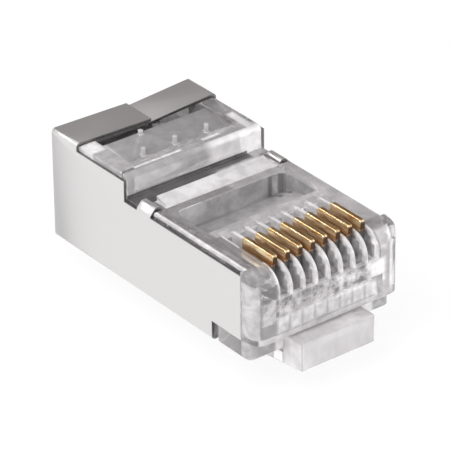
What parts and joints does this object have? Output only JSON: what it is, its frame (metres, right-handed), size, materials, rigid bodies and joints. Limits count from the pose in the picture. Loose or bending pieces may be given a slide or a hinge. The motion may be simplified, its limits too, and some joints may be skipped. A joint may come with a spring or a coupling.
{
  "type": "modular plug",
  "caption": "Shielded modular network plug with a clear moulded body, folded metal sleeve, row of plated contact blades, spring latch and crimp-down cable clamp.",
  "frame": {"origin": "where the centre plane, the plane of the nose face and the plane of the shield's underside meet", "axes": "+Y from the nose to the cable end, +Z from the latch side to the contact side, +X across the row of contacts"},
  "size_m": [0.0118, 0.023, 0.0111],
  "materials": {
    "clear_plastic": "clear polycarbonate, polished",
    "nickel_sheet": "satin nickel plate",
    "gold_plate": "gold plate over bronze"
  },
  "bodies": {
    "plug": {"housing": "clear_plastic", "shield": "nickel_sheet"},
    "latch": {"latch": "clear_plastic"},
    "cable_clamp": {"cable_clamp": "clear_plastic"},
    "contact_1": {"contact_1": "gold_plate"},
    "contact_2": {"contact_2": "gold_plate"},
    "contact_3": {"contact_3": "gold_plate"},
    "contact_4": {"contact_4": "gold_plate"},
    "contact_5": {"contact_5": "gold_plate"},
    "contact_6": {"contact_6": "gold_plate"},
    "contact_7": {"contact_7": "gold_plate"},
    "contact_8": {"contact_8": "gold_plate"}
  },
  "joints": [
    {"name": "latch_squeeze", "type": "hinge", "parent": "plug", "child": "latch", "pos_m": [0, 0.001, 0.00072], "axis": [1, 0, 0], "range_deg": [0, 7.5], "stiffness_Nm_per_rad": 0.1},
    {"name": "clamp_crimp", "type": "hinge", "parent": "plug", "child": "cable_clamp", "pos_m": [0, 0.01545, 0.0073], "axis": [1, 0, 0], "range_deg": [-20, 0]},
    {"name": "contact_1_crimp", "type": "slide", "parent": "plug", "child": "contact_1", "axis": [0, 0, 1], "range_m": [-0.0011, 0]},
    {"name": "contact_2_crimp", "type": "slide", "parent": "plug", "child": "contact_2", "axis": [0, 0, 1], "range_m": [-0.0011, 0]},
    {"name": "contact_3_crimp", "type": "slide", "parent": "plug", "child": "contact_3", "axis": [0, 0, 1], "range_m": [-0.0011, 0]},
    {"name": "contact_4_crimp", "type": "slide", "parent": "plug", "child": "contact_4", "axis": [0, 0, 1], "range_m": [-0.0011, 0]},
    {"name": "contact_5_crimp", "type": "slide", "parent": "plug", "child": "contact_5", "axis": [0, 0, 1], "range_m": [-0.0011, 0]},
    {"name": "contact_6_crimp", "type": "slide", "parent": "plug", "child": "contact_6", "axis": [0, 0, 1], "range_m": [-0.0011, 0]},
    {"name": "contact_7_crimp", "type": "slide", "parent": "plug", "child": "contact_7", "axis": [0, 0, 1], "range_m": [-0.0011, 0]},
    {"name": "contact_8_crimp", "type": "slide", "parent": "plug", "child": "contact_8", "axis": [0, 0, 1], "range_m": [-0.0011, 0]}
  ]
}
